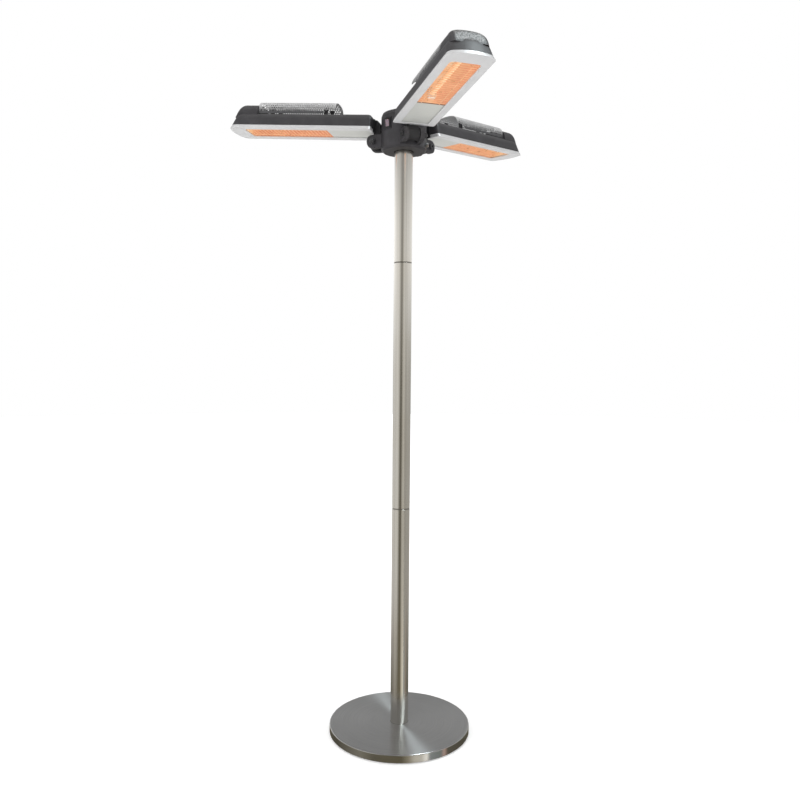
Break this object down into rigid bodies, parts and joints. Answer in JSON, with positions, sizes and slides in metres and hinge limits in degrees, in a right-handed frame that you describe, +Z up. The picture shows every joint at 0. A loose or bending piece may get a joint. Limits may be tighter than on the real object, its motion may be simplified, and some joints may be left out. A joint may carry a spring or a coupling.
{
  "type": "free-standing electric outdoor heater",
  "caption": "Free-standing electric patio heater: weighted round base, jointed steel pole and a hub with hinged radiant heater arms that fold down beside the pole.",
  "frame": {"origin": "centre of the base pad, on the floor, on the pole axis", "axes": "+Z up along the pole; the front arm points along -Y, the left and right arms along 150 and 30 degrees from +X"},
  "size_m": [0.9124, 0.8025, 1.7984],
  "materials": {
    "base_steel": "concentric brushed stainless sheet",
    "pole_steel": "lengthways brushed stainless tube",
    "cast_weight": "rough cast",
    "rubber_pad": "matte",
    "rubber_bush": "matte",
    "coupling_steel": "turned",
    "fastener_zinc": "zinc plated",
    "fastener_black": "black coated",
    "nylon": "moulded",
    "hub_plastic": "fine grain, charcoal",
    "gland_plastic": "moulded",
    "switch_plastic": "smooth",
    "switch_lens": "translucent rocker, dusky pink",
    "bracket_black": "satin powder coat",
    "housing_charcoal": "satin powder coat, charcoal",
    "shield_grey": "perforated sheet, light grey",
    "frame_silver": "silver lacquer",
    "cover_silver": "silver lacquer",
    "reflector_bright": "polished",
    "guard_wire": "bright wire",
    "quartz": "clear quartz",
    "element": "glowing filament",
    "ceramic": "unglazed"
  },
  "bodies": {
    "stand": {"base_cover": "base_steel", "base_pad": "rubber_pad", "base_weight": "cast_weight", "cable_gland": "gland_plastic", "clamp_screw": "fastener_zinc", "coupling_lower": "coupling_steel", "coupling_upper": "coupling_steel", "cover_screw": "fastener_zinc", "foot_bolt": "fastener_zinc", "foot_plug": "fastener_zinc", "front_pivot_bolt": "fastener_black", "front_pivot_nut": "fastener_black", "gland_nut": "gland_plastic", "hub_body": "hub_plastic", "hub_cover": "hub_plastic", "left_pivot_bolt": "fastener_black", "left_pivot_nut": "fastener_black", "pole_bush": "rubber_bush", "pole_lower": "pole_steel", "pole_middle": "pole_steel", "pole_upper": "pole_steel", "right_pivot_bolt": "fastener_black", "right_pivot_nut": "fastener_black", "switch_body": "switch_plastic", "terminal_block": "nylon", "top_plug": "nylon"},
    "left_arm": {"left_frame": "frame_silver", "left_guard": "guard_wire", "left_heat_shield": "shield_grey", "left_heating_element": "element", "left_hinge_bracket": "bracket_black", "left_housing": "housing_charcoal", "left_inner_lamp_holder": "ceramic", "left_outer_lamp_holder": "ceramic", "left_quartz_tube": "quartz", "left_reflector": "reflector_bright", "left_terminal_cover": "cover_silver"},
    "right_arm": {"right_frame": "frame_silver", "right_guard": "guard_wire", "right_heat_shield": "shield_grey", "right_heating_element": "element", "right_hinge_bracket": "bracket_black", "right_housing": "housing_charcoal", "right_inner_lamp_holder": "ceramic", "right_outer_lamp_holder": "ceramic", "right_quartz_tube": "quartz", "right_reflector": "reflector_bright", "right_terminal_cover": "cover_silver"},
    "front_arm": {"front_frame": "frame_silver", "front_guard": "guard_wire", "front_heat_shield": "shield_grey", "front_heating_element": "element", "front_hinge_bracket": "bracket_black", "front_housing": "housing_charcoal", "front_inner_lamp_holder": "ceramic", "front_outer_lamp_holder": "ceramic", "front_quartz_tube": "quartz", "front_reflector": "reflector_bright", "front_terminal_cover": "cover_silver"},
    "rocker": {"switch_rocker": "switch_lens"}
  },
  "joints": [
    {"name": "left_arm_fold", "type": "hinge", "parent": "stand", "child": "left_arm", "pos_m": [-0.07101, 0.041, 1.668], "axis": [-0.5, -0.866, 0], "range_deg": [0, 94]},
    {"name": "right_arm_fold", "type": "hinge", "parent": "stand", "child": "right_arm", "pos_m": [0.07101, 0.041, 1.668], "axis": [-0.5, 0.866, 0], "range_deg": [0, 94]},
    {"name": "front_arm_fold", "type": "hinge", "parent": "stand", "child": "front_arm", "pos_m": [0, -0.082, 1.668], "axis": [1, 0, 0], "range_deg": [0, 94]},
    {"name": "switch_rock", "type": "hinge", "parent": "stand", "child": "rocker", "pos_m": [-0.05162, -0.0298, 1.708], "axis": [0.5, -0.866, 0], "range_deg": [-16, 0]}
  ]
}
